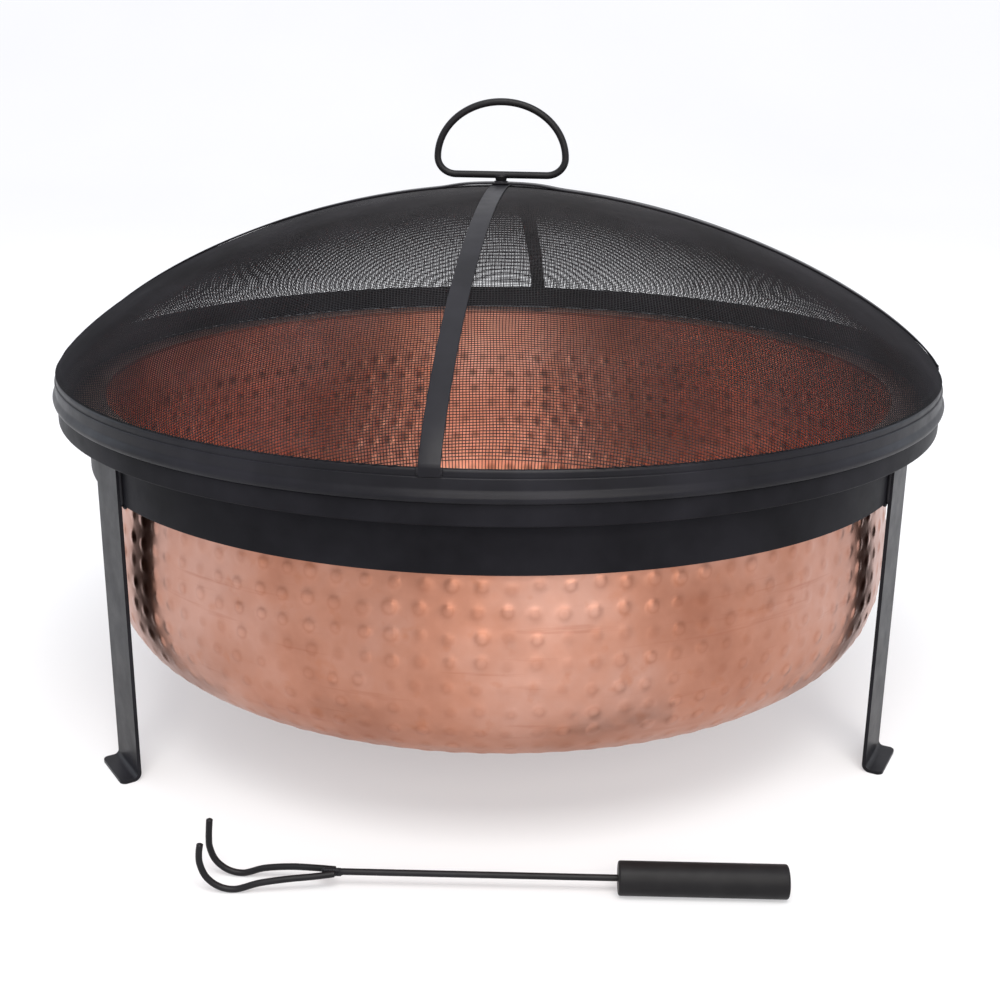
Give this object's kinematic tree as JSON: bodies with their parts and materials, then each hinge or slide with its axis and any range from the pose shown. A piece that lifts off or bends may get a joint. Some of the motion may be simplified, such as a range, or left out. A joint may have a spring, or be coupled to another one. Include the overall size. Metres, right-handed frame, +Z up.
{
  "type": "fire pit",
  "caption": "Round fire pit: hammered copper bowl in a steel hoop on flat-bar legs, log grate, domed mesh spark screen with a D handle, and a forked lifting tool.",
  "frame": {"origin": "on the ground under the bowl's axis", "axes": "+Z up, -Y towards the front, where the lifting tool lies"},
  "size_m": [0.769, 0.769, 0.534],
  "materials": {
    "black_steel": "satin black powder coat",
    "mesh": "black woven steel wire",
    "copper": "hammered bright copper",
    "grate_steel": "heat-resistant matt black on round steel bar",
    "zinc": "zinc plated",
    "grip": "matt black moulded grip"
  },
  "bodies": {
    "stand": {"stand_hoop": "black_steel", "leg_front_right": "black_steel", "leg_rear": "black_steel", "leg_front_left": "black_steel"},
    "bowl": {"copper_bowl": "copper", "bowl_rim": "black_steel"},
    "grate": {"grate_ring": "grate_steel", "grate_bar_1": "grate_steel", "grate_bar_2": "grate_steel", "grate_bar_3": "grate_steel", "grate_bar_4": "grate_steel", "grate_bar_5": "grate_steel", "grate_bar_6": "grate_steel", "grate_bar_7": "grate_steel", "grate_leg_1": "grate_steel", "grate_leg_2": "grate_steel", "grate_leg_3": "grate_steel", "grate_leg_4": "grate_steel"},
    "screen": {"screen_band": "black_steel", "mesh_hem": "black_steel", "mesh_dome": "mesh", "strap_front_back": "black_steel", "strap_side_side": "black_steel", "handle_stud": "black_steel", "handle_loop": "black_steel", "stud_washer": "zinc", "stud_nut": "zinc"},
    "tool": {"tool_grip": "grip", "tool_rod": "black_steel", "tool_prong_far": "black_steel", "tool_prong_near": "black_steel"}
  },
  "joints": [
    {"name": "bowl_lift", "type": "slide", "parent": "stand", "child": "bowl", "axis": [0, 0, 1], "range_m": [0, 0.3]},
    {"name": "grate_lift", "type": "slide", "parent": "bowl", "child": "grate", "axis": [0, 0, 1], "range_m": [0, 0.2]},
    {"name": "screen_lift", "type": "slide", "parent": "bowl", "child": "screen", "axis": [0, 0, 1], "range_m": [0, 0.35]},
    {"name": "tool_lift", "type": "slide", "parent": "stand", "child": "tool", "axis": [0, 0, 1], "range_m": [0, 0.2]}
  ]
}
